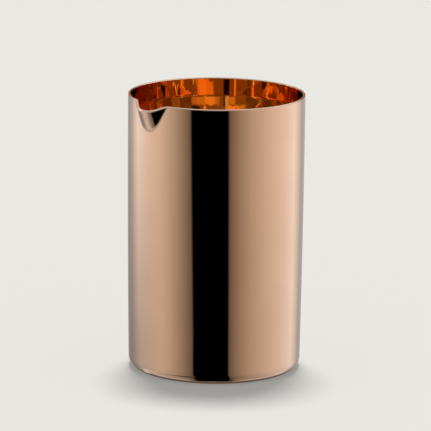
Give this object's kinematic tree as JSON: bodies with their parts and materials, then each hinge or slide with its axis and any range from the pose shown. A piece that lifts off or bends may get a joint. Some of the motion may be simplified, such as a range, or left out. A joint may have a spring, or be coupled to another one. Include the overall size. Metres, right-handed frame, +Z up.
{
  "type": "handleless milk frothing pitcher",
  "caption": "Tall handleless beaker with a polished copper finish, a small V-shaped pouring lip and an insulating double wall, for steaming, mixing and pouring milk.",
  "frame": {"origin": "centre of the underside, on the surface the vessel stands on", "axes": "+Z up along the vessel's axis, -Y towards the pouring lip, +X to the right of someone facing the pouring lip"},
  "size_m": [0.09, 0.094, 0.142],
  "materials": {
    "polished_copper": "mirror-polished copper plating on stainless steel",
    "liner_copper": "mirror-polished copper plating on stainless steel",
    "lip_copper": "ground and polished weld under copper plating",
    "base_copper": "spun copper plating with fine concentric turning marks",
    "bare_steel": "bare mill-finish stainless steel",
    "foil": "bright rolled copper foil",
    "getter": "pressed metal powder, matt grey",
    "solder_glass": "dark solder glass"
  },
  "bodies": {
    "root": {"outer_shell": "polished_copper", "inner_vessel": "liner_copper", "lip_weld": "lip_copper", "base_cover": "base_copper", "base_plate": "bare_steel", "base_weld": "bare_steel", "heat_shield_foil": "foil", "getter_clip": "bare_steel", "getter_pill": "getter", "evacuation_seal": "solder_glass"}
  },
  "joints": []
}
